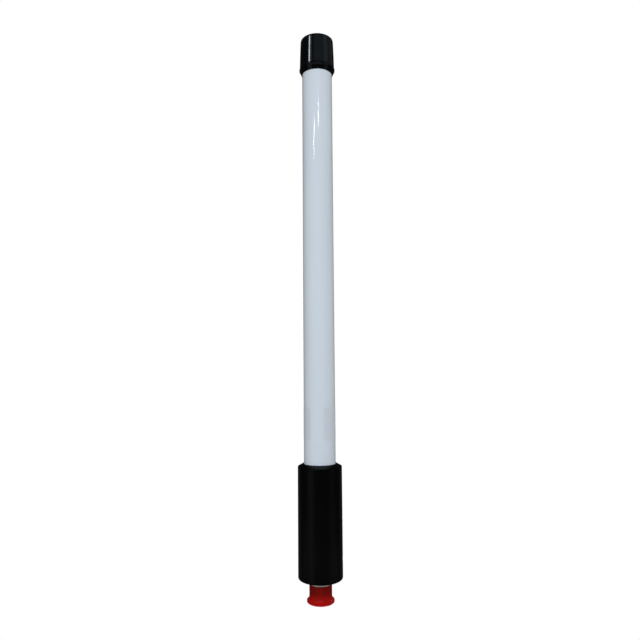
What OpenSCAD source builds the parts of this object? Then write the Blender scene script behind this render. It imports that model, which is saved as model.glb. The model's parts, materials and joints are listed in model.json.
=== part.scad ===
// Omnidirectional antenna: a white glass-fibre radome with a slip-on top cap, standing in a
// black mounting sleeve that carries an N-type jack under a pull-off dust cap.
// Millimetres. +Z runs up the antenna's axis, and the origin is at half the sleeve's height.
// The front of the antenna faces -Y.

/* [Radome] */
// Outer diameter of the radome tube
tube_d = 25; // [24.6:0.1:25.1]
// Wall thickness of the radome tube
tube_wall = 2; // [1.6:0.1:2.4]
// Length of tube between the sleeve and the top cap
tube_exposed = 320; // [300:0.5:400]

/* [Mounting sleeve] */
// Outer diameter of the sleeve, which a mast clamp grips
sleeve_d = 34.8; // [33.5:0.1:36]
// Height of the sleeve
sleeve_h = 87; // [80:0.5:110]
// Drop of the sloping top face from the tube to the rim
sleeve_slope = 2.2; // [1:0.1:3]
// Height of the grub screws above the sleeve's lower end
screw_height = 15; // [13:0.5:18]

/* [Top cap] */
// Overall height of the slip-on cap
top_cap_h = 30.8; // [26:0.1:36]
// Diameter across the bead at the cap's mouth
top_cap_bead_d = 29.8; // [29.2:0.1:30.5]
// Diameter at the cap's upper shoulder
top_cap_top_d = 27.4; // [27:0.1:27.9]

/* [Jack and dust cap] */
// Length of the jack's plain collar below the sleeve
collar_h = 3.9; // [3:0.1:6]
// Outer diameter of the jack's coupling thread
thread_d = 15.86; // [15.7:0.02:15.88]
// Pitch of the coupling thread, 24 turns to the inch
thread_pitch = 1.058; // [1:0.001:1.1]
// Outer diameter of the dust cap's body
dust_cap_d = 17.6; // [17:0.1:17.8]
// Diameter of the dust cap's pull rim
dust_rim_d = 21.4; // [20:0.1:23]
// Length of the dust cap from its mouth to its closed end
dust_cap_h = 13.6; // [13.4:0.1:16]

/* [Label] */
// Height of the blank label
label_h = 25; // [15:1:40]
// Angle of the tube that the label wraps
label_sweep = 312; // [180:1:330]
// Direction of the label's right-hand edge, from +X
label_start = -75; // [-90:1:0]

/* [Radiator] */
// Diameter of the radiator wire
wire_d = 1.6; // [1.2:0.1:1.7]
// Length of the first straight section above the feed
first_section = 72; // [65:1:80]
// Length of each later straight section
half_wave = 58; // [50:1:60]
// Height of one phasing coil
coil_h = 8; // [7.5:0.1:10]
// Radius of a phasing coil at the wire's centre
coil_r = 3.25; // [2.5:0.05:4]
// Turns in one phasing coil
coil_turns = 3; // [2:1:3]

/* [Hidden] */
$fn = 96;
running_gap = 0.05;   // radial clearance between nested pieces
tube_r = tube_d / 2;
tube_bore_r = tube_r - tube_wall;
sleeve_r = sleeve_d / 2;
sleeve_bore_r = 12.6;

// Heights, from the dust cap up to the top cap
sleeve_bottom = -sleeve_h / 2;
sleeve_top = sleeve_h / 2;
collar_bottom = sleeve_bottom - collar_h;
jack_front = collar_bottom - 10.7;
dust_cap_top = collar_bottom - 0.1;
dust_cap_bottom = dust_cap_top - dust_cap_h;
carrier_top = sleeve_bottom + 24;
tube_bottom = carrier_top + 2;
top_cap_bottom = sleeve_top + tube_exposed;
top_cap_top = top_cap_bottom + top_cap_h;
top_cap_roof = 2.6;
tube_top = top_cap_top - top_cap_roof - 0.2;

// Mounting sleeve
sleeve_edge_r = 1.1;
sleeve_land_r = 13.5;     // where the sloping top face starts
tube_groove_z = sleeve_top - 8;

// Grub screws, M4 with a hexagon socket
screw_z = sleeve_bottom + screw_height;
screw_r = 2;
screw_tip_r = 11.85;      // distance of the cup point from the axis
screw_face_r = sleeve_r - 0.9;
screw_socket_af = 2;
screw_angles = [0, 90];

// Connector carrier
carrier_r = sleeve_bore_r - running_gap;
carrier_floor = sleeve_bottom + 8.5;
carrier_cavity_r = 10.6;
carrier_groove_z = sleeve_bottom + 4.6;
clamp_groove_depth = 0.8;

// Jack, rear half inside the carrier
collar_r = 8.75;
barrel_r = 6.4;
barrel_top = sleeve_bottom + 15;
tail_r = 4;
tail_top = sleeve_bottom + 18;
mouth_r = 4.05;
mouth_depth = 9.1;
insulator_r = 3.55;
insulator_top = sleeve_bottom + 7.9;
insulator_bottom = jack_front + mouth_depth;
contact_tip = jack_front + 4.8;
contact_r = 1.52;
shank_r = 1.05;
washer_h = 0.8;
nut_h = 3.6;
nut_af = 17;

// Semi-rigid feed coax
shield_r = 1.79;
shield_bore_r = 1.49;
core_r = 0.46;
coax_start = sleeve_bottom + 8.1;
shield_end = sleeve_top + 35.5;
dielectric_end = shield_end + 2;
core_end = shield_end + 9;

// Choke and feed joint
choke_r = 5;
choke_wall = 0.5;
choke_bottom = sleeve_top + 1.5;
choke_top = choke_bottom + 31;
ferrule_bottom = dielectric_end + 2;
ferrule_top = ferrule_bottom + 10;

// Radiator wire and the pieces that centre it
wire_r = wire_d / 2;
wire_start = core_end + 0.2;
section_ends = [
    wire_start + first_section,
    wire_start + first_section + coil_h + half_wave,
    wire_start + first_section + 2 * (coil_h + half_wave),
    wire_start + first_section + 3 * (coil_h + half_wave)
];
wire_end = section_ends[3];
disc_r = tube_bore_r - 0.15;
disc_h = 4;
disc_count = 4;
wire_sides = 8;
steps_per_turn = 14;

// ---- Shared shapes ----

// Points on an arc, for the round stretches of a lathe profile
function arc(centre, r, from, to, n = 8) =
    [for (i = [0:n]) let (a = from + (to - from) * i / n) centre + r * [cos(a), sin(a)]];

// Crests and roots of a ring-cut thread, from z = low up to z = high
function thread_edge(r, pitch, low, high, depth = 0.62) =
    let (turns = floor((high - low) / pitch))
    [for (i = [0:turns - 1], side = [0:2])
        [r - [0, 0, depth][side], low + pitch * (i + [0.06, 0.34, 0.7][side])]];

// A solid of revolution about the antenna's axis, from [radius, height] points
module lathe(points)
    rotate_extrude() polygon(points);

// A straight ring from z = low to z = high
module ring(outer_r, inner_r, low, high)
    translate([0, 0, low])
        difference() {
            cylinder(r = outer_r, h = high - low);
            translate([0, 0, -1]) cylinder(r = inner_r, h = high - low + 2);
        }

// An O-ring with a round section
module o_ring(centre_r, section_r, z)
    rotate_extrude() translate([centre_r, z]) circle(r = section_r);

// A hexagonal prism with its flats af apart
module hex(af, h)
    cylinder(d = af / cos(30), h = h, $fn = 6);

// ---- Radome ----

// Slip-on cap with a bead at its mouth and a slight taper up to a rounded shoulder
module top_cap() {
    bead_r = top_cap_bead_d / 2;
    shoulder_r = top_cap_top_d / 2;
    edge_r = 2;
    mouth_r = tube_r + running_gap;
    z = top_cap_bottom;
    color([0.05, 0.05, 0.055])
        lathe(concat(
            [[mouth_r, z], [mouth_r + 0.3, z], [bead_r - 0.75, z + 3.1]],
            arc([bead_r - 0.9, z + 4.6], 0.9, -30, 60, 6),
            [[bead_r - 0.45, z + 6], [bead_r - 0.66, z + 15]],
            arc([shoulder_r - edge_r, top_cap_top - edge_r], edge_r, 4, 90),
            [[0, top_cap_top], [0, top_cap_top - top_cap_roof], [mouth_r, top_cap_top - top_cap_roof]]
        ));
}

module radome_tube()
    color([0.87, 0.90, 0.93])
        ring(tube_r, tube_bore_r, tube_bottom, tube_top);

// Blank wrap-round label, with its gap at the front of the tube
module info_label() {
    film = 0.12;
    low = sleeve_top + 19;
    color([0.86, 0.85, 0.88])
        rotate([0, 0, label_start])
            rotate_extrude(angle = label_sweep)
                translate([tube_r + 0.01, low]) square([film, label_h]);
}

// ---- Mounting sleeve and connector carrier ----

module mounting_sleeve() {
    groove_r = sleeve_bore_r + 1.1;
    groove_half = 1;
    rim_z = sleeve_top - sleeve_slope;
    color([0.04, 0.04, 0.045])
        difference() {
            lathe(concat(
                [[sleeve_bore_r, sleeve_top], [sleeve_bore_r, tube_groove_z + groove_half],
                 [groove_r, tube_groove_z + groove_half], [groove_r, tube_groove_z - groove_half],
                 [sleeve_bore_r, tube_groove_z - groove_half], [sleeve_bore_r, sleeve_bottom + 0.5],
                 [sleeve_bore_r + 0.5, sleeve_bottom]],
                arc([sleeve_r - sleeve_edge_r, sleeve_bottom + sleeve_edge_r], sleeve_edge_r, -90, 0),
                arc([sleeve_r - 0.5, rim_z - 0.5], 0.5, 0, 60, 4),
                [[sleeve_land_r, sleeve_top]]
            ));
            for (a = screw_angles)
                rotate([0, 0, a]) translate([sleeve_bore_r - 1, 0, screw_z])
                    rotate([0, 90, 0]) cylinder(r = screw_r + running_gap, h = sleeve_r);
        }
}

// Two M4 grub screws that clamp the carrier: cup point inwards, hexagon socket outwards
module grub_screws() {
    length = screw_face_r - screw_tip_r;
    point_h = 0.8;
    socket_depth = 2.2;
    color([0.16, 0.16, 0.17])
        for (a = screw_angles)
            rotate([0, 0, a]) translate([screw_tip_r, 0, screw_z]) rotate([0, 90, 0])
                difference() {
                    lathe([[0, 0.3], [0.7, 0], [1.2, 0], [screw_r, point_h],
                           [screw_r, length - 0.3], [screw_r - 0.3, length], [0, length]]);
                    translate([0, 0, length - socket_depth]) hex(screw_socket_af, socket_depth + 1);
                }
}

module tube_seal_ring()
    color([0.08, 0.08, 0.08])
        o_ring(tube_r + 0.61, 0.56, tube_groove_z);

// Turned plug in the foot of the sleeve: it holds the jack, and the grub screws bite in its groove
module connector_carrier() {
    z = sleeve_bottom;
    seal_r = carrier_r - 1.35;
    clamp_r = carrier_r - clamp_groove_depth;
    color([0.05, 0.05, 0.055])
        lathe([
            [barrel_r + running_gap, z + 0.8], [collar_r - 0.2, z + 0.8], [collar_r - 0.2, z],
            [carrier_r - 0.5, z], [carrier_r, z + 0.5],
            [carrier_r, carrier_groove_z - 1], [seal_r, carrier_groove_z - 1],
            [seal_r, carrier_groove_z + 1], [carrier_r, carrier_groove_z + 1],
            [carrier_r, screw_z - 2 - clamp_groove_depth], [clamp_r, screw_z - 2],
            [clamp_r, screw_z + 2], [carrier_r, screw_z + 2 + clamp_groove_depth],
            [carrier_r, carrier_top], [carrier_cavity_r, carrier_top],
            [carrier_cavity_r, carrier_floor], [barrel_r + running_gap, carrier_floor]
        ]);
}

module carrier_seal_ring()
    color([0.08, 0.08, 0.08])
        o_ring(carrier_r - 0.65, 0.66, carrier_groove_z);

// ---- N-type jack and its dust cap ----

module jack_body() {
    front = jack_front;
    coax_bore_r = shield_r + running_gap;
    color([0.78, 0.76, 0.72])
        lathe(concat(
            [[mouth_r, insulator_bottom], [mouth_r, front + 0.4], [mouth_r + 0.4, front],
             [thread_d / 2 - 0.62, front]],
            thread_edge(thread_d / 2, thread_pitch, front + 0.4, collar_bottom - 0.9),
            [[thread_d / 2 - 0.62, collar_bottom], [collar_r - 0.3, collar_bottom],
             [collar_r, collar_bottom + 0.3], [collar_r, sleeve_bottom - 0.02],
             [barrel_r, sleeve_bottom - 0.02], [barrel_r, barrel_top], [tail_r, barrel_top],
             [tail_r, tail_top], [coax_bore_r, tail_top], [coax_bore_r, insulator_top + 0.1],
             [insulator_r + running_gap, insulator_top + 0.1],
             [insulator_r + running_gap, insulator_bottom]]
        ));
}

// Flat rubber washer in the recess between the collar and the carrier
module jack_gasket()
    color([0.35, 0.05, 0.04])
        ring(collar_r - 0.3, barrel_r + 0.15, sleeve_bottom + 0.02, sleeve_bottom + 0.78);

module jack_insulator()
    color([0.93, 0.93, 0.90])
        ring(insulator_r, shank_r + running_gap, insulator_bottom, insulator_top);

// Gilt socket contact with four slots, and a solder bucket at its rear
module centre_contact() {
    socket_r = 0.82;
    socket_depth = 3.9;
    slot_w = 0.3;
    rear = insulator_top - 0.3;
    bucket_depth = 3;
    color([0.95, 0.75, 0.32])
        difference() {
            lathe([[0, contact_tip], [contact_r - 0.3, contact_tip], [contact_r, contact_tip + 0.3],
                   [contact_r, insulator_bottom - 0.05], [shank_r, insulator_bottom - 0.05],
                   [shank_r, rear], [0, rear]]);
            translate([0, 0, contact_tip - 1]) cylinder(r = socket_r, h = socket_depth + 1);
            translate([0, 0, rear - bucket_depth]) cylinder(r = core_r + 0.04, h = bucket_depth + 1);
            for (a = [45, 135])
                rotate([0, 0, a]) translate([-3, -slot_w / 2, contact_tip - 1])
                    cube([6, slot_w, socket_depth - 0.4 + 1]);
        }
}

// Toothed washer under the nut
module lock_washer() {
    teeth = 10;
    outer_r = 9.2;
    color([0.70, 0.70, 0.70])
        difference() {
            ring(outer_r, barrel_r + 0.1, carrier_floor + 0.02, carrier_floor + washer_h);
            for (i = [0:teeth - 1])
                rotate([0, 0, 360 / teeth * i]) translate([outer_r - 1.2, -0.55, carrier_floor - 1])
                    cube([3, 1.1, 3]);
        }
}

module hex_nut()
    color([0.78, 0.76, 0.72])
        translate([0, 0, carrier_floor + washer_h + 0.03])
            difference() {
                hex(nut_af, nut_h);
                translate([0, 0, -1]) cylinder(r = barrel_r + running_gap, h = nut_h + 2);
            }

// Push-on polythene cap: a thin cup that flares into a pull rim round its closed end
module dust_cap() {
    body_r = dust_cap_d / 2;
    rim_r = dust_rim_d / 2;
    bore_r = thread_d / 2 + 0.07;
    edge_r = 0.8;
    rim_h = 1.7;
    flare_h = 3.8;
    flare_top = dust_cap_bottom + rim_h + flare_h;
    floor_z = jack_front - 0.4;
    recess_r = 7;
    recess_h = 1.2;
    nub_r = 1;
    bottom = dust_cap_bottom;
    color([0.62, 0.05, 0.04])
        lathe(concat(
            [[0, floor_z], [bore_r, floor_z], [bore_r, dust_cap_top - 0.25],
             [bore_r + 0.12, dust_cap_top], [body_r - 0.12, dust_cap_top],
             [body_r, dust_cap_top - 0.25]],
            [for (i = [0:8]) let (a = i * 90 / 8)
                [body_r + (rim_r - body_r) * (1 - cos(a)), flare_top - flare_h * sin(a)]],
            arc([rim_r - edge_r, bottom + edge_r], edge_r, 0, -90, 6),
            [[recess_r, bottom], [recess_r - 0.3, bottom + recess_h], [nub_r, bottom + recess_h],
             [nub_r - 0.2, bottom + recess_h - 0.6], [0, bottom + recess_h - 0.6]]
        ));
}

// ---- Feed line and choke ----

module coax_shield()
    color([0.85, 0.52, 0.38])
        ring(shield_r, shield_bore_r, coax_start, shield_end);

module coax_dielectric()
    color([0.93, 0.93, 0.90])
        ring(shield_bore_r - 0.02, core_r + 0.02, coax_start, dielectric_end);

module coax_core()
    color([0.82, 0.82, 0.80])
        translate([0, 0, insulator_top - 3.1])
            cylinder(r = core_r, h = core_end - insulator_top + 3.1);

// Brass ferrule sweated over the shield where it leaves the jack
module solder_ferrule()
    color([0.80, 0.62, 0.28])
        ring(3.2, shield_r + 0.03, tail_top + 0.05, tail_top + 4);

module choke_tube()
    color([0.80, 0.62, 0.28])
        ring(choke_r, choke_r - choke_wall, choke_bottom, choke_top);

// Brass ring that closes the choke and joins it to the shield
module choke_end_ring()
    color([0.80, 0.62, 0.28])
        ring(choke_r - choke_wall - 0.03, shield_r + 0.03, choke_top - 1.5, choke_top);

module choke_support_ring()
    color([0.93, 0.93, 0.90])
        ring(choke_r - choke_wall - 0.05, shield_r + 0.05, choke_bottom, choke_bottom + 2);

// Brass ferrule that joins the coax core to the radiator wire
module feed_ferrule()
    color([0.80, 0.62, 0.28])
        difference() {
            ring(1.6, core_r + 0.04, ferrule_bottom, ferrule_top);
            translate([0, 0, core_end + 0.1]) cylinder(r = wire_r + 0.04, h = ferrule_top);
        }

module feed_heat_shrink()
    color([0.07, 0.07, 0.08])
        ring(2.2, shield_r + 0.04, choke_top + 0.2, ferrule_top - 2);

// ---- Radiator ----

// How far out the wire is at share s of a coil: a smooth run out, full radius, a smooth run in
function coil_reach(s) =
    let (u = min(1, s / 0.15, (1 - s) / 0.15))
    coil_r * u * u * (3 - 2 * u);

// The wire's centre line through one coil that starts at height z
function coil_path(z) =
    let (steps = coil_turns * steps_per_turn)
    [for (i = [0:steps]) let (s = i / steps, a = 360 * coil_turns * s)
        [coil_reach(s) * cos(a), coil_reach(s) * sin(a), z + coil_h * s]];

wire_path = concat(
    [[0, 0, wire_start]],
    coil_path(section_ends[0]), coil_path(section_ends[1]), coil_path(section_ends[2]),
    [[0, 0, wire_end]]
);

function unit(v) = v / norm(v);

// Direction of a path at point i
function heading(path, i) =
    unit(path[min(i + 1, len(path) - 1)] - path[max(i - 1, 0)]);

// One side direction a point, carried along the path so that the rings don't twist
function side_directions(path) =
    [for (i = 0, u = [1, 0, 0]; i < len(path);
          i = i + 1,
          t = i < len(path) ? heading(path, i) : [0, 0, 1],
          u = unit(u - (u * t) * t)) u];

// A round tube of radius r along a path
module sweep(path, r, sides) {
    us = side_directions(path);
    rings = len(path);
    points = [for (i = [0:rings - 1], k = [0:sides - 1])
        let (t = heading(path, i), v = cross(t, us[i]), a = 360 * k / sides)
        path[i] + r * (cos(a) * us[i] + sin(a) * v)];
    walls = [for (i = [0:rings - 2], k = [0:sides - 1], half = [0, 1])
        let (a = i * sides + k, b = i * sides + (k + 1) % sides, c = a + sides, d = b + sides)
        half == 0 ? [a, c, d] : [a, d, b]];
    ends = [[for (k = [0:sides - 1]) k], [for (k = [sides - 1:-1:0]) (rings - 1) * sides + k]];
    polyhedron(points, concat(walls, ends), convexity = 6);
}

module radiator_wire()
    color([0.85, 0.52, 0.38])
        sweep(wire_path, wire_r, wire_sides);

// Moulded disc that holds a straight piece on the axis of the tube, with four holes for lightness
module centring_disc(bore_r, z) {
    hole_r = 2;
    hole_ring_r = 6.6;
    color([0.90, 0.90, 0.86])
        difference() {
            union() {
                ring(disc_r, bore_r, z - disc_h / 2, z + disc_h / 2);
                ring(bore_r + 1.4, bore_r, z - disc_h, z + disc_h);
            }
            if (bore_r < 2)
                for (a = [45:90:315])
                    rotate([0, 0, a]) translate([hole_ring_r, 0, z - disc_h])
                        cylinder(r = hole_r, h = 2 * disc_h);
        }
}

module choke_centring_disc()
    centring_disc(choke_r + running_gap, choke_bottom + 14);

// Middle of the wire's straight section number i, from 0
function section_middle(i) =
    i == 0 ? section_ends[0] - first_section / 2 : section_ends[i] - half_wave / 2;

// Rubber bumper on the wire's tip, which stops it from rattling in the tube
module tip_bumper() {
    z = wire_end - 6;
    color([0.10, 0.10, 0.11])
        difference() {
            lathe([[0, z], [3, z], [3, z + 3], [disc_r, z + 5], [disc_r, z + 9],
                   [3, z + 11], [3, z + 13], [0, z + 13]]);
            translate([0, 0, z - 1]) cylinder(r = wire_r + 0.04, h = 7.2);
        }
}

// ---- Assembly ----

top_cap();
radome_tube();
info_label();
mounting_sleeve();
tube_seal_ring();
grub_screws();
connector_carrier();
carrier_seal_ring();
jack_body();
jack_gasket();
jack_insulator();
centre_contact();
lock_washer();
hex_nut();
dust_cap();
coax_shield();
coax_dielectric();
coax_core();
solder_ferrule();
choke_tube();
choke_end_ring();
choke_support_ring();
choke_centring_disc();
feed_ferrule();
feed_heat_shrink();
radiator_wire();
for (i = [0:disc_count - 1])
    centring_disc(wire_r + 0.04, section_middle(i));
tip_bumper();
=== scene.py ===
"""Looks for the omnidirectional antenna: its visible pieces, materials, light and camera."""

import json
import math

import bmesh
import bpy
from mathutils import Matrix, Vector


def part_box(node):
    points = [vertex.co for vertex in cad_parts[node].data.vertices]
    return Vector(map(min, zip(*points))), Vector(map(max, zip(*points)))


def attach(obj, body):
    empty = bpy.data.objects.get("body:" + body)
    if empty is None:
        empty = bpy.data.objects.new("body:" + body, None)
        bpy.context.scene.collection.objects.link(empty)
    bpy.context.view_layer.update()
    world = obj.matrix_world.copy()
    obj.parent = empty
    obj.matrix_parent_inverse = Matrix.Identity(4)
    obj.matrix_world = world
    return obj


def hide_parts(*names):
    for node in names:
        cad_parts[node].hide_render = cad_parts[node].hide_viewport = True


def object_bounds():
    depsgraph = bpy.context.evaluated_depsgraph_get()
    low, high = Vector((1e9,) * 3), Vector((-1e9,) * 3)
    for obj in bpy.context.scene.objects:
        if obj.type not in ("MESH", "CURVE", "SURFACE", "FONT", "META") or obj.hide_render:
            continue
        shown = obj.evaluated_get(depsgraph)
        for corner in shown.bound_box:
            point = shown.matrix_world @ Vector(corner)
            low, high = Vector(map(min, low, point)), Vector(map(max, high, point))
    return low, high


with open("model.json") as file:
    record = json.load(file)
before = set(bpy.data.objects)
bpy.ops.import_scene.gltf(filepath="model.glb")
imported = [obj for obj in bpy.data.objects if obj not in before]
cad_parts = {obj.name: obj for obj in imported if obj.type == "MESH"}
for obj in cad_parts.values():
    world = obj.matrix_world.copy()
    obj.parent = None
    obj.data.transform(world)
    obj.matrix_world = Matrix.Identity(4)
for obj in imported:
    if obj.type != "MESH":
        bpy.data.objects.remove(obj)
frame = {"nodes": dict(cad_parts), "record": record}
cad_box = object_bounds()
nodes = frame["nodes"]

MM = 0.001
SEGMENTS = 256          # columns round a full turn
FILLET_STEPS = 6
SHARP_ANGLE = math.radians(32)
WELD = 0.002            # points of a cut mesh that are nearer than this are one


def span(node):
    """Lowest and highest point of a CAD node along Z, in mm."""
    low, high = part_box(node)
    return low.z / MM, high.z / MM


def outer_r(node):
    """Largest radius of a CAD node about Z, in mm."""
    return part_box(node)[1].x / MM


# ---- Mesh helpers ----


def rounded(corners, steps=FILLET_STEPS):
    """Profile points of a closed outline whose (r, z, fillet) corners are rounded off. mm."""
    points = []
    for i, (r, z, fillet) in enumerate(corners):
        here = Vector((r, z))
        back = Vector(corners[i - 1][:2]) - here
        ahead = Vector(corners[(i + 1) % len(corners)][:2]) - here
        if not fillet:
            points.append((r, z))
            continue
        half = back.angle(ahead) / 2
        cut = min(fillet / math.tan(half), 0.49 * back.length, 0.49 * ahead.length)
        radius = cut * math.tan(half)
        inward = (back.normalized() + ahead.normalized()).normalized()
        centre = here + inward * (radius / math.sin(half))
        start = here + back.normalized() * cut - centre
        end = here + ahead.normalized() * cut - centre
        a0 = math.atan2(start.y, start.x)
        turn = (math.atan2(end.y, end.x) - a0 + math.pi) % (2 * math.pi) - math.pi
        for k in range(steps + 1):
            a = a0 + turn * k / steps
            points.append((centre.x + radius * math.cos(a), centre.y + radius * math.sin(a)))
    return points


def tooth(turns):
    """Depth share of a V thread at this many turns: 0 on the crest, 1 at the root."""
    rise = abs(2 * (turns % 1) - 1)
    return min(1, max(0, (rise - 0.12) / 0.66))


def lathe(profile, segments=SEGMENTS, start=0.0, sweep=360.0, thread=None):
    """Mesh of a closed profile turned about Z. A point is (r, z) or (r, z, share of thread depth)."""
    mesh = bmesh.new()
    whole = sweep >= 360
    columns = segments if whole else segments + 1
    rings = []
    for point in profile:
        r, z = point[:2]
        share = point[2] if len(point) > 2 else 0
        if r < 1e-6:
            rings.append([mesh.verts.new((0, 0, z * MM))] * columns)
            continue
        ring = []
        for k in range(columns):
            turn = k / segments
            cut = thread[0] * share * tooth(z / thread[1] - turn) if share else 0
            a = math.radians(start + sweep * turn)
            reach = (r - cut) * MM
            ring.append(mesh.verts.new((reach * math.cos(a), reach * math.sin(a), z * MM)))
        rings.append(ring)
    for lower, upper in zip(rings, rings[1:] + rings[:1]):
        for k in range(segments):
            k2 = (k + 1) % columns
            corners = []
            for v in (lower[k], lower[k2], upper[k2], upper[k]):
                if v not in corners:
                    corners.append(v)
            if len(corners) > 2:
                mesh.faces.new(corners)
    if not whole:
        for k in (0, columns - 1):
            mesh.faces.new([ring[k] for ring in rings])
    bmesh.ops.recalc_face_normals(mesh, faces=mesh.faces)
    return mesh


def add(name, mesh, body=None, replaces=None, slot=None):
    """An object made of a bmesh, riding on its body and standing for its CAD node."""
    data = bpy.data.meshes.new(name)
    mesh.to_mesh(data)
    mesh.free()
    data.polygons.foreach_set("use_smooth", [True] * len(data.polygons))
    data.set_sharp_from_angle(angle=SHARP_ANGLE)
    obj = bpy.data.objects.new(name, data)
    bpy.context.scene.collection.objects.link(obj)
    if body:
        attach(obj, body)
    if replaces:
        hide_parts(replaces)
    if slot:
        data.materials.append(LOOKS[slot])
    return obj


def cut(obj, cutter):
    """Takes the cutter's shape out of obj's mesh, and leaves no slivers."""
    tool = add("cutter", cutter)
    mod = obj.modifiers.new("cut", "BOOLEAN")
    mod.operation = "DIFFERENCE"
    mod.solver = "EXACT"
    mod.object = tool
    bpy.context.view_layer.update()
    solid = bpy.data.meshes.new_from_object(obj.evaluated_get(bpy.context.evaluated_depsgraph_get()))
    mesh = bmesh.new()
    mesh.from_mesh(solid)
    bmesh.ops.remove_doubles(mesh, verts=mesh.verts, dist=WELD * MM)
    bmesh.ops.dissolve_degenerate(mesh, edges=mesh.edges, dist=WELD * MM)
    bmesh.ops.triangulate(mesh, faces=[face for face in mesh.faces if len(face.verts) > 4])
    bmesh.ops.dissolve_degenerate(mesh, edges=mesh.edges, dist=WELD * MM)
    mesh.to_mesh(solid)
    mesh.free()
    obj.modifiers.clear()
    obj.data = solid
    obj.data.set_sharp_from_angle(angle=SHARP_ANGLE)
    bpy.data.objects.remove(tool)


def turned(mesh, angle, radius, z):
    """Stands a mesh made along Z on a radius instead, its foot at that radius and height. mm."""
    place = (Matrix.Translation(Vector((0, 0, z * MM))) @ Matrix.Rotation(math.radians(angle), 4, "Z")
             @ Matrix.Translation(Vector((radius * MM, 0, 0))) @ Matrix.Rotation(math.pi / 2, 4, "Y"))
    mesh.transform(place)
    return mesh


def joined(*meshes):
    """One bmesh of several."""
    whole = bmesh.new()
    for mesh in meshes:
        data = bpy.data.meshes.new("part")
        mesh.to_mesh(data)
        mesh.free()
        whole.from_mesh(data)
        bpy.data.meshes.remove(data)
    return whole


# ---- Materials ----


class Look:
    """A Principled material with procedural detail in the object's own metres."""

    def __init__(self, name, **sockets):
        self.material = bpy.data.materials.new(name)
        self.material.use_nodes = True
        self.tree = self.material.node_tree
        self.shader = self.tree.nodes["Principled BSDF"]
        self.place = self.node("ShaderNodeTexCoord").outputs["Object"]
        self.normal = None
        for key, value in sockets.items():
            self.shader.inputs[key.replace("_", " ")].default_value = value

    def node(self, kind, **settings):
        made = self.tree.nodes.new(kind)
        for key, value in settings.items():
            setattr(made, key, value)
        return made

    def link(self, output, socket):
        self.tree.links.new(output, socket)

    def noise(self, size, detail=3.0, rough=0.5, seed=0.0, warp=0.0):
        """Noise whose features are about size (x, y, z) mm across."""
        place = self.node("ShaderNodeMapping")
        place.inputs["Scale"].default_value = [1 / (s * MM) for s in size]
        place.inputs["Location"].default_value = (seed, seed * 1.7, -seed)
        self.link(self.place, place.inputs["Vector"])
        noise = self.node("ShaderNodeTexNoise")
        noise.inputs["Scale"].default_value = 1.0
        noise.inputs["Detail"].default_value = detail
        noise.inputs["Roughness"].default_value = rough
        noise.inputs["Distortion"].default_value = warp
        self.link(place.outputs["Vector"], noise.inputs["Vector"])
        return noise.outputs["Fac"]

    def specks(self, spacing, size, seed=0.0):
        """1 inside small round specks, 0 elsewhere. mm."""
        place = self.node("ShaderNodeMapping")
        place.inputs["Scale"].default_value = [1 / (spacing * MM)] * 3
        place.inputs["Location"].default_value = (seed, -seed, seed * 0.6)
        self.link(self.place, place.inputs["Vector"])
        cells = self.node("ShaderNodeTexVoronoi")
        cells.inputs["Scale"].default_value = 1.0
        self.link(place.outputs["Vector"], cells.inputs["Vector"])
        return self.remap(cells.outputs["Distance"], size / spacing, 0.6 * size / spacing, 0, 1)

    def remap(self, value, low, high, to_low, to_high):
        made = self.node("ShaderNodeMapRange")
        limits = (("From Min", low), ("From Max", high), ("To Min", to_low), ("To Max", to_high))
        for key, number in limits:
            made.inputs[key].default_value = number
        self.link(value, made.inputs["Value"])
        return made.outputs["Result"]

    def maths(self, operation, a, b):
        made = self.node("ShaderNodeMath", operation=operation)
        for socket, value in zip(made.inputs, (a, b)):
            if isinstance(value, (int, float)):
                socket.default_value = value
            else:
                self.link(value, socket)
        return made.outputs["Value"]

    def blend(self, share, a, b):
        """Colour a where share is 0 and b where it is 1."""
        made = self.node("ShaderNodeMix", data_type="RGBA")
        self.link(share, made.inputs["Factor"])
        for socket, value in ((made.inputs["A"], a), (made.inputs["B"], b)):
            socket = [s for s in made.inputs if s.name == socket.name and s.type == "RGBA"][0]
            if isinstance(value, tuple):
                socket.default_value = (*value, 1)
            else:
                self.link(value, socket)
        return [s for s in made.outputs if s.type == "RGBA"][0]

    def edges(self, low, high):
        """1 on convex edges, 0 on flat faces."""
        return self.remap(self.node("ShaderNodeNewGeometry").outputs["Pointiness"], low, high, 0, 1)

    def bump(self, value, depth, strength=1.0):
        """Adds relief of this depth in mm."""
        made = self.node("ShaderNodeBump")
        made.inputs["Strength"].default_value = strength
        made.inputs["Distance"].default_value = depth * MM
        self.link(value, made.inputs["Height"])
        if self.normal:
            self.link(self.normal, made.inputs["Normal"])
        self.normal = made.outputs["Normal"]

    def done(self, colour=None, roughness=None):
        if colour:
            self.link(colour, self.shader.inputs["Base Color"])
        if roughness:
            self.link(roughness, self.shader.inputs["Roughness"])
        if self.normal:
            self.link(self.normal, self.shader.inputs["Normal"])
        return self.material


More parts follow.
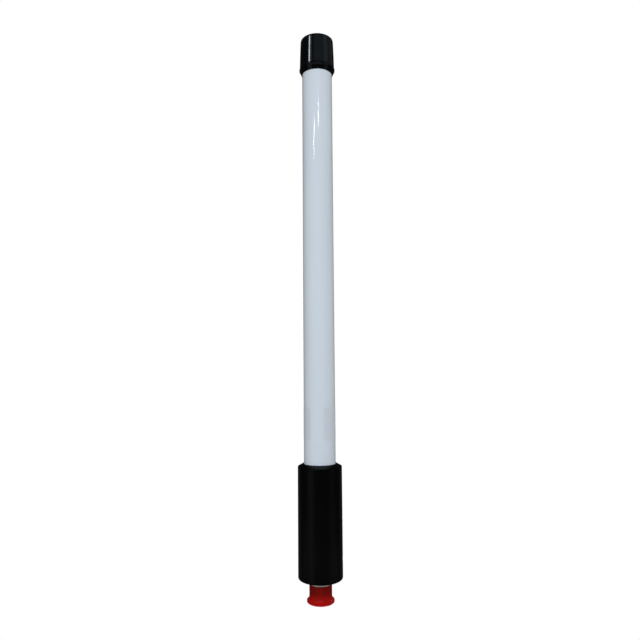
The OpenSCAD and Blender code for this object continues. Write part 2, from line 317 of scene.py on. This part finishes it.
def gelcoat():
    """Glossy white gelcoat over glass fibre: long pulled fibres, faint cloud and a rare speck."""
    look = Look("white_gelcoat", Specular_IOR_Level=0.5, Coat_Weight=0.0)
    cloud = look.noise((30, 30, 60), detail=2, seed=3)
    fibre = look.noise((0.5, 0.5, 45), detail=4, seed=8)
    colour = look.blend(look.remap(cloud, 0.35, 0.65, 0, 1), (0.79, 0.86, 0.93), (0.81, 0.88, 0.945))
    colour = look.blend(look.remap(fibre, 0.45, 0.75, 0, 0.25), colour, (0.74, 0.81, 0.885))
    speck = look.specks(spacing=26, size=0.55, seed=0.37)
    colour = look.blend(look.maths("MULTIPLY", speck, 0.8), colour, (0.13, 0.13, 0.13))
    look.bump(look.noise((0.8, 0.8, 60), detail=1, seed=8), 0.0003)
    look.bump(look.noise((8, 8, 40), detail=1, seed=5), 0.0014)
    smear = look.noise((9, 9, 30), detail=4, seed=1)
    return look.done(colour, look.remap(smear, 0.3, 0.7, 0.04, 0.07))


def vinyl():
    """Glossy black dipped vinyl with a light orange peel."""
    look = Look("black_vinyl", Specular_IOR_Level=0.5)
    cloud = look.noise((8, 8, 8), detail=3, seed=2)
    share = look.remap(cloud, 0.3, 0.7, 0, 1)
    colour = look.blend(share, (0.0012, 0.0016, 0.0024), (0.002, 0.0027, 0.0038))
    dust = look.remap(look.noise((0.25, 0.25, 0.25), detail=1, seed=9), 0.74, 0.8, 0, 0.25)
    colour = look.blend(dust, colour, (0.07, 0.07, 0.07))
    look.bump(look.noise((2.5, 2.5, 6), detail=1, seed=4), 0.0002)
    look.bump(look.noise((7, 7, 30), detail=1, seed=6), 0.003)
    smear = look.noise((4, 4, 9), detail=4, seed=7)
    return look.done(colour, look.remap(smear, 0.3, 0.7, 0.09, 0.15))


def anodised():
    """Satin black anodised aluminium with fine turning marks and rubbed edges."""
    look = Look("black_anodised", Specular_IOR_Level=0.25)
    cloud = look.noise((12, 12, 20), detail=4, seed=2)
    share = look.remap(cloud, 0.3, 0.7, 0, 1)
    colour = look.blend(share, (0.0006, 0.0007, 0.0006), (0.0013, 0.0014, 0.0013))
    rub = look.maths("MULTIPLY", look.edges(0.53, 0.58), look.remap(cloud, 0.4, 0.7, 0.1, 0.7))
    colour = look.blend(rub, colour, (0.035, 0.037, 0.04))
    rings = look.noise((60, 60, 0.16), detail=3, seed=1)
    look.bump(rings, 0.002)
    look.bump(look.noise((0.12, 0.12, 0.12), detail=2, seed=3), 0.002)
    return look.done(colour, look.remap(rings, 0.3, 0.7, 0.27, 0.36))


def moulded(name, dark, light, rough, grain=0.01, **sockets):
    """A moulded plastic or rubber: cloudy colour, fine moulded grain, uneven gloss."""
    look = Look(name, **sockets)
    cloud = look.noise((5, 5, 7), detail=4, seed=2)
    colour = look.blend(look.remap(cloud, 0.3, 0.7, 0, 1), dark, light)
    look.bump(look.noise((0.35, 0.35, 0.35), detail=3, seed=4), grain)
    smear = look.noise((2, 2, 5), detail=3, seed=6)
    return look.done(colour, look.remap(smear, 0.3, 0.7, rough - 0.06, rough + 0.06))


def metal(name, dark, light, rough, along=False, metallic=1.0):
    """A turned metal, or a drawn one with its marks along Z, slightly tarnished."""
    look = Look(name, Metallic=metallic)
    tarnish = look.noise((3, 3, 5), detail=5, seed=2)
    colour = look.blend(look.remap(tarnish, 0.35, 0.7, 0, 1), light, dark)
    marks = look.noise((0.15, 0.15, 14) if along else (25, 25, 0.12), detail=3, seed=5)
    look.bump(marks, 0.004)
    return look.done(colour, look.remap(marks, 0.3, 0.7, rough - 0.07, rough + 0.07))


def film():
    """Thin satin label film with a faint paper tooth."""
    look = Look("label_film", Specular_IOR_Level=0.4)
    cloud = look.noise((6, 6, 9), detail=4, seed=3)
    colour = look.blend(look.remap(cloud, 0.3, 0.7, 0, 1), (0.735, 0.775, 0.85), (0.755, 0.798, 0.872))
    look.bump(look.noise((0.3, 0.3, 0.3), detail=3, seed=2), 0.006)
    look.bump(look.noise((5, 5, 8), detail=1, seed=4), 0.03)
    return look.done(colour, look.remap(look.noise((2, 2, 3), seed=8), 0.3, 0.7, 0.35, 0.5))


def polythene():
    """Red polythene cap with painted shade: darker towards the top, under the sleeve's overhang, and
    brighter towards its flared bottom edge.
    """
    look = Look("red_polythene", Specular_IOR_Level=0.15, Subsurface_Weight=0.05, Subsurface_Scale=0.002)
    cloud = look.noise((5, 5, 7), detail=4, seed=2)
    # Two copies of one red: a darker one for the painted shade under the sleeve, and a brighter one for the
    # lit bottom edge.
    body = look.blend(look.remap(cloud, 0.3, 0.7, 0, 1), (0.155, 0.0018, 0.0007), (0.215, 0.003, 0.001))
    lit_red = look.blend(look.remap(cloud, 0.3, 0.7, 0, 1), (0.55, 0.004, 0.003), (0.66, 0.007, 0.006))
    split = look.node("ShaderNodeSeparateXYZ")
    look.link(look.place, split.inputs["Vector"])
    # Painted shade: the red darkens from 0.5 mm above the cap's bottom up to 9 mm above it, where the
    # sleeve shades it.
    shaded_above, lit_below = dust_low + 9, dust_low + 0.5
    rise = look.remap(split.outputs["Z"], shaded_above * MM, lit_below * MM, 0, 1)
    colour = look.blend(look.maths("POWER", rise, 1.3), body, lit_red)
    look.bump(look.noise((0.35, 0.35, 0.35), detail=3, seed=4), 0.006)
    smear = look.noise((2, 2, 5), detail=3, seed=6)
    return look.done(colour, look.remap(smear, 0.3, 0.7, 0.28, 0.4))


dust_low, dust_high = span("dust_cap")
LOOKS = {
    "white_glass_fibre": gelcoat(),
    "black_vinyl": vinyl(),
    "black_anodised": anodised(),
    "label_film": film(),
    "red_polythene": polythene(),
    "black_rubber": moulded("black_rubber", (0.008, 0.008, 0.008), (0.02, 0.02, 0.02), 0.65, grain=0.02),
    "red_silicone": moulded("red_silicone", (0.20, 0.02, 0.015), (0.32, 0.035, 0.02), 0.5, grain=0.02),
    "white_ptfe": moulded("white_ptfe", (0.72, 0.72, 0.68), (0.85, 0.85, 0.82), 0.4,
                          Subsurface_Weight=0.1, Subsurface_Scale=0.002),
    "foam_polythene": moulded("foam_polythene", (0.62, 0.62, 0.57), (0.78, 0.78, 0.74), 0.6, grain=0.05),
    "black_shrink": moulded("black_shrink", (0.008, 0.008, 0.008), (0.018, 0.018, 0.018), 0.42, grain=0.02),
    "nickel_plate": metal("nickel_plate", (0.78, 0.72, 0.66), (0.90, 0.84, 0.78), 0.2, metallic=0.68),
    "gold_plate": metal("gold_plate", (0.72, 0.47, 0.15), (0.95, 0.70, 0.28), 0.2),
    "zinc_steel": metal("zinc_steel", (0.38, 0.38, 0.37), (0.58, 0.58, 0.57), 0.32),
    "black_steel": metal("black_steel", (0.02, 0.02, 0.022), (0.06, 0.06, 0.065), 0.38),
    "brass": metal("brass", (0.45, 0.30, 0.12), (0.78, 0.58, 0.26), 0.3),
    "copper": metal("copper", (0.52, 0.22, 0.13), (0.86, 0.45, 0.30), 0.3, along=True),
    "silvered_wire": metal("silvered_wire", (0.5, 0.49, 0.46), (0.85, 0.84, 0.81), 0.25, along=True),
}
for entry in frame["record"]["subparts"]:
    cad_node = nodes[entry["node"]]
    cad_node.data.materials.clear()
    cad_node.data.materials.append(LOOKS[entry["material_slot"]])


# ---- Radome, label and top cap ----

tube_low, tube_high = span("radome_tube")
tube_r = outer_r("radome_tube")
TUBE_BORE_R = 10.5
corners = [(TUBE_BORE_R, tube_low, 0.2), (tube_r, tube_low, 0.3)]
corners += [(tube_r, tube_low + (tube_high - tube_low) * k / 12, 0) for k in range(1, 12)]
corners += [(tube_r, tube_high, 0.3), (TUBE_BORE_R, tube_high, 0.2)]
add("radome_shell", lathe(rounded(corners)), "antenna", "radome_tube", "white_glass_fibre")

label_low, label_high = span("info_label")
LABEL_START, LABEL_SWEEP, LABEL_FILM = -75, 312, 0.12
LABEL_CORNER = 2.2
LABEL_GLUE = 0.012


def label_sheet():
    """The label: a thin film round the tube with rounded corners at its two ends."""
    mesh = bmesh.new()
    columns, rows = 240, 14
    length = math.radians(LABEL_SWEEP) * tube_r
    height = label_high - label_low
    inner, outer = [], []
    for i in range(columns + 1):
        # columns bunch up near the ends, where the corners turn
        s = length * (0.5 - 0.5 * math.cos(math.pi * i / columns))
        reach = min(s, length - s)
        inset = 0.0
        if reach < LABEL_CORNER:
            inset = LABEL_CORNER - math.sqrt(max(0, LABEL_CORNER ** 2 - (LABEL_CORNER - reach) ** 2))
        a = math.radians(LABEL_START) + s / tube_r
        for sheet, r in ((inner, tube_r + LABEL_GLUE), (outer, tube_r + LABEL_FILM)):
            x, y = r * MM * math.cos(a), r * MM * math.sin(a)
            low = label_low + inset
            step = (height - 2 * inset) / rows
            sheet.append([mesh.verts.new((x, y, (low + step * j) * MM)) for j in range(rows + 1)])
    for sheet in (inner, outer):
        for a, b in zip(sheet, sheet[1:]):
            for j in range(rows):
                mesh.faces.new((a[j], b[j], b[j + 1], a[j + 1]))
    for j in (0, rows):
        for i in range(columns):
            mesh.faces.new((inner[i][j], outer[i][j], outer[i + 1][j], inner[i + 1][j]))
    for i in (0, columns):
        for j in range(rows):
            mesh.faces.new((inner[i][j], inner[i][j + 1], outer[i][j + 1], outer[i][j]))
    bmesh.ops.recalc_face_normals(mesh, faces=mesh.faces)
    return mesh


add("label_wrap", label_sheet(), "antenna", "info_label", "label_film")

cap_low, cap_high = span("top_cap")
bead_r = outer_r("top_cap")
CAP_SHOULDER_R = 13.7
CAP_ROOF = 2.6
CAP_DIMPLE = 0.35
cap_bore_r = tube_r + 0.05
cap_mouth = [(cap_bore_r, cap_low, 0.08), (cap_bore_r + 0.35, cap_low, 0.12),
             (bead_r - 0.75, cap_low + 3.1, 0.4)]
cap_bead = [(bead_r + 0.05, cap_low + 4.3, 0.5), (bead_r - 0.05, cap_low + 5.0, 0.5)]
cap_side = [(bead_r - 0.45, cap_low + 6.0, 0.9), (bead_r - 0.66, cap_low + 15, 0),
            (CAP_SHOULDER_R + 0.05, cap_high - 2.2, 0), (CAP_SHOULDER_R - 0.1, cap_high - 0.12, 1.9)]
cap_top = [(4.2, cap_high, 0), (2.0, cap_high, 0.3), (1.7, cap_high - CAP_DIMPLE, 0.2),
           (0, cap_high - CAP_DIMPLE, 0)]
cap_inside = [(0, cap_high - CAP_ROOF, 0), (cap_bore_r, cap_high - CAP_ROOF, 0.5)]
cap_profile = rounded(cap_mouth + cap_bead + cap_side + cap_top + cap_inside)
add("top_cap_shell", lathe(cap_profile), "antenna", "top_cap", "black_vinyl")


# ---- Mounting sleeve and grub screws ----

sleeve_low, sleeve_high = span("mounting_sleeve")
sleeve_r = outer_r("mounting_sleeve")
SLEEVE_BORE_R = 12.6
SLEEVE_SLOPE = 2.2
SLEEVE_LAND_R = 13.5
SLEEVE_EDGE_R = 1.1
GROOVE_R = SLEEVE_BORE_R + 1.1
SCREW_ANGLES = (0, 90)
SCREW_R = 2.0
screw_low, screw_high = span("grub_screws")
screw_z = (screw_low + screw_high) / 2
groove_z = sleeve_high - 8
sleeve_profile = rounded([
    (SLEEVE_LAND_R, sleeve_high, 0.25), (SLEEVE_BORE_R, sleeve_high, 0.15),
    (SLEEVE_BORE_R, groove_z + 1, 0), (GROOVE_R, groove_z + 1, 0), (GROOVE_R, groove_z - 1, 0),
    (SLEEVE_BORE_R, groove_z - 1, 0), (SLEEVE_BORE_R, sleeve_low + 0.5, 0),
    (SLEEVE_BORE_R + 0.5, sleeve_low, 0.1), (sleeve_r, sleeve_low, SLEEVE_EDGE_R),
    (sleeve_r, sleeve_low + 24, 0), (sleeve_r, sleeve_low + 48, 0),
    (sleeve_r, sleeve_high - SLEEVE_SLOPE, 0.7),
])
sleeve = add("sleeve_turned", lathe(sleeve_profile), "antenna", "mounting_sleeve", "black_anodised")
HOLE_R, SINK_R = SCREW_R + 0.05, SCREW_R + 0.75
for angle in SCREW_ANGLES:
    hole = lathe([(0, -2), (HOLE_R, -2), (HOLE_R, 4.2), (SINK_R, 5.0), (0, 5.0)], segments=64)
    cut(sleeve, turned(hole, angle, SLEEVE_BORE_R, screw_z))

SCREW_TIP, SCREW_RECESS = 11.85, 0.9
SCREW_END_R = 1.6
SCREW_PITCH, SCREW_DEPTH = 0.7, 0.3
SOCKET_R, SOCKET_DEPTH = 1.155, 2.2


def grub_screw(angle):
    """A cup-point grub screw with a thread and a hexagon socket."""
    length = sleeve_r - SCREW_RECESS - SCREW_TIP
    profile = [(0, 0.35), (0.7, 0.05), (1.1, 0), (SCREW_END_R, 0.55)]
    steps = int((length - 1.0) / SCREW_PITCH * 8)
    for k in range(steps + 1):
        run_out = min(1, k / 6, (steps - k) / 6)
        profile.append((SCREW_R - 0.02, 0.75 + (length - 1.2) * k / steps, run_out))
    profile += [(SCREW_END_R, length), (0, length)]
    screw = add("screw", lathe(profile, segments=48, thread=(SCREW_DEPTH, SCREW_PITCH)))
    socket = bmesh.new()
    bmesh.ops.create_cone(socket, cap_ends=True, segments=6, radius1=SOCKET_R * MM,
                          radius2=SOCKET_R * MM, depth=2 * SOCKET_DEPTH * MM)
    bmesh.ops.translate(socket, verts=socket.verts, vec=(0, 0, length * MM))
    cut(screw, socket)
    mesh = bmesh.new()
    mesh.from_mesh(screw.data)
    bpy.data.objects.remove(screw)
    return turned(mesh, angle, SCREW_TIP, screw_z)


screw_pair = joined(*[grub_screw(angle) for angle in SCREW_ANGLES])
add("grub_screw_pair", screw_pair, "antenna", "grub_screws", "black_steel")


# ---- Jack and dust cap ----

jack_front, jack_top = span("jack_body")
collar_r = outer_r("jack_body")
COLLAR_H = 3.9
collar_low = sleeve_low - COLLAR_H
collar_high = sleeve_low - 0.02
THREAD_R, THREAD_PITCH, THREAD_DEPTH = 7.93, 1.058, 0.62
MOUTH_R, MOUTH_FLARE = 4.05, 0.4
BARREL_R, BARREL_RISE = 6.4, 15
TAIL_R, CABLE_HOLE_R = 4.0, 1.84
SEAT_R = 3.6
insulator_low, insulator_high = span("jack_insulator")
barrel_top = sleeve_low + BARREL_RISE
seat_top = insulator_high + 0.1
thread_length = collar_low - jack_front - 0.8
rows = int(thread_length / THREAD_PITCH * 10)
jack_profile = [(MOUTH_R, insulator_low), (MOUTH_R, jack_front + MOUTH_FLARE),
                (MOUTH_R + MOUTH_FLARE, jack_front), (THREAD_R - THREAD_DEPTH, jack_front)]
for k in range(rows + 1):
    run_out = min(1, k / 8, (rows - k) / 8)
    jack_profile.append((THREAD_R, jack_front + 0.35 + thread_length * k / rows, run_out))
jack_profile += rounded([
    (THREAD_R - 0.45, collar_low, 0), (collar_r, collar_low, 0.3), (collar_r, collar_high, 0.08),
    (BARREL_R, collar_high, 0), (BARREL_R, barrel_top, 0.4), (TAIL_R, barrel_top, 0),
    (TAIL_R, jack_top, 0.2), (CABLE_HOLE_R, jack_top, 0), (CABLE_HOLE_R, seat_top, 0),
    (SEAT_R, seat_top, 0), (SEAT_R, insulator_low, 0),
])
jack = lathe(jack_profile, segments=192, thread=(THREAD_DEPTH, THREAD_PITCH))
add("jack_shell", jack, "antenna", "jack_body", "nickel_plate")

rim_r = outer_r("dust_cap")
DUST_BODY_R, DUST_BORE_R = 8.8, 8.0
RIM_H, FLARE_H = 1.7, 3.8
RECESS_R, RECESS_H = 7.0, 1.2
NUB_R, NUB_H = 1.0, 0.6
FLARE_STEPS = 12
dust_floor = jack_front - 0.4
dust_inside = [(0, dust_floor, 0), (DUST_BORE_R - 0.2, dust_floor, 0), (DUST_BORE_R, dust_floor + 0.6, 0),
               (DUST_BORE_R, dust_high - 0.5, 0)]
dust_lip = [(DUST_BORE_R + 0.12, dust_high, 0.12), (DUST_BODY_R, dust_high, 0.2)]
flare_top = dust_low + RIM_H + FLARE_H
dust_flare = []
for k in range(FLARE_STEPS + 1):
    a = math.radians(90 * k / FLARE_STEPS)
    r = DUST_BODY_R + (rim_r - DUST_BODY_R) * (1 - math.cos(a))
    dust_flare.append((r, flare_top - FLARE_H * math.sin(a), 0))
recess_z = dust_low + RECESS_H
dust_face = [(rim_r, dust_low, 0.8), (RECESS_R, dust_low, 0.35), (RECESS_R - 0.3, recess_z, 0.4),
             (NUB_R, recess_z, 0.2), (NUB_R - 0.15, recess_z - NUB_H, 0.15), (0, recess_z - NUB_H, 0)]
dust_profile = rounded(dust_inside + dust_lip + dust_flare + dust_face)
add("dust_cap_shell", lathe(dust_profile), "cap", "dust_cap", "red_polythene")


# ---- Radiator wire ----

wire_low, wire_high = span("radiator_wire")
WIRE_R, COIL_R, COIL_TURNS, COIL_H = 0.8, 3.25, 3, 8
FIRST_SECTION, HALF_WAVE = 72, 58


def coil_reach(s):
    """How far out the wire is at share s of a coil."""
    u = min(1, s / 0.15, (1 - s) / 0.15)
    return COIL_R * u * u * (3 - 2 * u)


route = [(0, 0, wire_low)]
for i in range(3):
    base = wire_low + FIRST_SECTION + i * (COIL_H + HALF_WAVE)
    for k in range(COIL_TURNS * 40 + 1):
        s = k / (COIL_TURNS * 40)
        a = 2 * math.pi * COIL_TURNS * s
        route.append((coil_reach(s) * math.cos(a), coil_reach(s) * math.sin(a), base + COIL_H * s))
route.append((0, 0, wire_high))
curve = bpy.data.curves.new("radiator_rod", "CURVE")
curve.dimensions = "3D"
curve.bevel_depth = WIRE_R * MM
curve.bevel_resolution = 4
curve.use_fill_caps = True
spline = curve.splines.new("POLY")
spline.points.add(len(route) - 1)
for point, (x, y, z) in zip(spline.points, route):
    point.co = (x * MM, y * MM, z * MM, 1)
rod = bpy.data.objects.new("radiator_rod", curve)
bpy.context.scene.collection.objects.link(rod)
curve.materials.append(LOOKS["copper"])
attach(rod, "antenna")
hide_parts("radiator_wire")


# ---- Floor, light and camera ----

FLOOR_DROP = 0.045      # room under the antenna for the dust cap to come off
FLOOR_R = 3.0
LAMP_DISTANCE = 1.6
LAMP_AIM_Z = 0.15
CARD_DISTANCE = 1.2
CAMERA_DISTANCE = 0.46103
CAMERA_HEIGHT = 0.11814
CAMERA_PITCH = 0.0996
CAMERA_ROLL = -0.0073
WHITE = (1, 1, 1)


def emission(name, colour, strength):
    material = bpy.data.materials.new(name)
    material.use_nodes = True
    tree = material.node_tree
    tree.nodes.clear()
    glow = tree.nodes.new("ShaderNodeEmission")
    glow.inputs["Color"].default_value = (*colour, 1)
    glow.inputs["Strength"].default_value = strength
    out = tree.nodes.new("ShaderNodeOutputMaterial")
    tree.links.new(glow.outputs[0], out.inputs["Surface"])
    return material


disc = bmesh.new()
bmesh.ops.create_circle(disc, cap_ends=True, segments=64, radius=FLOOR_R)
bmesh.ops.translate(disc, verts=disc.verts, vec=(0, 0, cad_box[0][2] - FLOOR_DROP))
floor = add("floor", disc)
# pale from above and clear from below, so that the antenna can be seen from under the floor
pale = emission("pale_floor", WHITE, 1.0)
tree = pale.node_tree
see_through = tree.nodes.new("ShaderNodeBsdfTransparent")
underside = tree.nodes.new("ShaderNodeNewGeometry")
faces = tree.nodes.new("ShaderNodeMixShader")
tree.links.new(underside.outputs["Backfacing"], faces.inputs["Fac"])
tree.links.new(tree.nodes["Emission"].outputs[0], faces.inputs[1])
tree.links.new(see_through.outputs[0], faces.inputs[2])
tree.links.new(faces.outputs[0], tree.nodes["Material Output"].inputs["Surface"])
floor.data.materials.append(pale)
floor.visible_diffuse = False
floor.visible_glossy = False
floor.visible_shadow = False

world = bpy.data.worlds.new("studio")
bpy.context.scene.world = world
world.use_nodes = True
tree = world.node_tree
tree.nodes.clear()
rays = tree.nodes.new("ShaderNodeLightPath")


def background(colour):
    made = tree.nodes.new("ShaderNodeBackground")
    made.inputs["Color"].default_value = (*colour, 1)
    return made.outputs[0]


def either(ray, otherwise, seen):
    """The background that one kind of ray sees, and what the others see."""
    mix = tree.nodes.new("ShaderNodeMixShader")
    tree.links.new(rays.outputs[ray], mix.inputs["Fac"])
    tree.links.new(otherwise, mix.inputs[1])
    tree.links.new(seen, mix.inputs[2])
    return mix.outputs[0]


AMBIENT = (0.26, 0.247, 0.23)
DARK_ROOM = (0.018, 0.018, 0.015)
room = either("Is Glossy Ray", background(AMBIENT), background(DARK_ROOM))
out = tree.nodes.new("ShaderNodeOutputWorld")
tree.links.new(either("Is Camera Ray", room, background(WHITE)), out.inputs["Surface"])


def around(azimuth, distance, z):
    """A place in the room. Azimuth 0 is in front of the antenna and 90 on its right."""
    a = math.radians(azimuth)
    return Vector((distance * math.sin(a), -distance * math.cos(a), z))


def soft_light(name, azimuth, z, size, watts, colour):
    """A large lamp for the diffuse light alone, so that gloss shows only the cards below."""
    lamp = bpy.data.lights.new(name, "AREA")
    lamp.shape = "RECTANGLE"
    lamp.size, lamp.size_y = size
    lamp.energy = watts
    lamp.color = colour
    obj = bpy.data.objects.new(name, lamp)
    bpy.context.scene.collection.objects.link(obj)
    obj.location = around(azimuth, LAMP_DISTANCE, z)
    obj.rotation_euler = (Vector((0, 0, LAMP_AIM_Z)) - obj.location).to_track_quat("-Z", "Y").to_euler()
    obj.visible_glossy = False
    obj.visible_camera = False


def mirrored(z, r):
    """Height in the ring of cards that the front view shows at z on an upright face of radius r."""
    face = z * MM
    slope = (face - CAMERA_HEIGHT) / (CAMERA_DISTANCE - r * MM)
    return face + (CARD_DISTANCE - r * MM) * slope


def card(name, low, high, r, width, radiance, colour=WHITE):
    """A glowing card that only gloss shows. Each end is (azimuth, height of its image on radius r)."""
    foot, head = [around(azimuth, CARD_DISTANCE, mirrored(z, r)) for azimuth, z in (low, high)]
    mesh = bmesh.new()
    rows = 8
    for k in range(rows + 1):
        middle = foot.lerp(head, k / rows)
        side = Vector((-middle.y, middle.x, 0)).normalized() * width / 2
        mesh.verts.new(middle - side)
        mesh.verts.new(middle + side)
    mesh.verts.ensure_lookup_table()
    for k in range(rows):
        mesh.faces.new([mesh.verts[2 * k + i] for i in (0, 1, 3, 2)])
    reflected(name, mesh, radiance, colour)


def reflected(name, mesh, radiance, colour=WHITE):
    """A glowing shape that only gloss shows."""
    obj = add(name, mesh)
    obj.data.materials.append(emission(name, colour, radiance))
    obj.visible_camera = False
    obj.visible_diffuse = False
    obj.visible_transmission = False
    obj.visible_shadow = False


soft_light("soft_front", -4, 0.45, (1.7, 1.6), 18.4, (0.83, 0.91, 1.0))
soft_light("soft_left", -75, 0.5, (1.0, 1.6), 2.0, (1.0, 0.98, 0.94))
soft_light("soft_right", 75, 0.5, (1.0, 1.6), 2.2, (1.0, 0.98, 0.95))
soft_light("soft_edge", 122, 0.5, (1.0, 1.6), 6.0, (1.0, 0.98, 0.95))
soft_light("soft_back", 185, 0.5, (1.7, 1.6), 12.0, (0.86, 0.93, 1.0))
card("lamp_a", (8.6, cap_low - 48.8), (8.6, cap_low - 26.1), tube_r, 0.13, 14)
card("lamp_b", (-30.3, cap_low - 73.2), (-21.3, cap_low - 42.5), tube_r, 0.11, 16)

image_top = cap_low + 86.5
card("lamp_c", (-53, cap_low + 12.5), (-53, image_top), CAP_SHOULDER_R, 0.17, 14, (0.90, 0.92, 1.0))
card("ceiling_card", (10, cap_low - 18.1), (10, cap_low + 177), CAP_SHOULDER_R, 1.5, 0.22,
     (0.70, 0.88, 1.0))
card("blue_card", (-38, cap_low + 12), (-38, image_top), CAP_SHOULDER_R, 0.2, 0.5, (0.6, 0.68, 1.0))
low, high = cap_low - 63, cap_low + 207
card("right_card_high", (62, low), (62, high), CAP_SHOULDER_R, 0.78, 0.32, (0.75, 0.92, 1.0))
card("right_card_edge", (106, low), (106, high), CAP_SHOULDER_R, 1.0, 0.12, (0.9, 1.0, 0.95))

low, high = sleeve_low - 135.2, sleeve_high + 166.5
card("right_card_low", (64, low), (64, sleeve_high + 195.2), sleeve_r, 0.45, 0.13)
card("left_card", (-50, low), (-48, high), sleeve_r, 0.6, 0.23, (0.95, 1.0, 0.95))
for side, azimuth in (("left", -133), ("right", 133)):
    card("edge_card_" + side, (azimuth, low), (azimuth, high), sleeve_r, 0.7, 0.06, (1.0, 1.0, 0.85))

low, high = [mirrored(z, DUST_BODY_R) / MM for z in (dust_low - 8.2, sleeve_low + 22.6)]
outside = CARD_DISTANCE / MM
inside = outside - 5
glow = [(inside, low), (outside, low), (outside, high), (inside, high)]
reflected("floor_glow", lathe(glow, segments=64, start=-190, sweep=200), 0.22)

camera_data = bpy.data.cameras.new("camera")
camera_data.lens = 32.1566
camera_data.sensor_width = 36
camera_data.shift_x = 0.002
camera_data.shift_y = -0.0142
camera_data.clip_start = 0.01
camera_data.clip_end = 20
camera = bpy.data.objects.new("camera", camera_data)
bpy.context.scene.collection.objects.link(camera)
stand = Matrix.Translation(Vector((0, -CAMERA_DISTANCE, CAMERA_HEIGHT)))
pitch = Matrix.Rotation(math.pi / 2 + CAMERA_PITCH, 4, "X")
roll = Matrix.Rotation(CAMERA_ROLL, 4, "Z")
camera.matrix_world = stand @ pitch @ roll
bpy.context.scene.camera = camera
bpy.context.scene.view_settings.view_transform = "Standard"
bpy.context.scene.view_settings.look = "None"
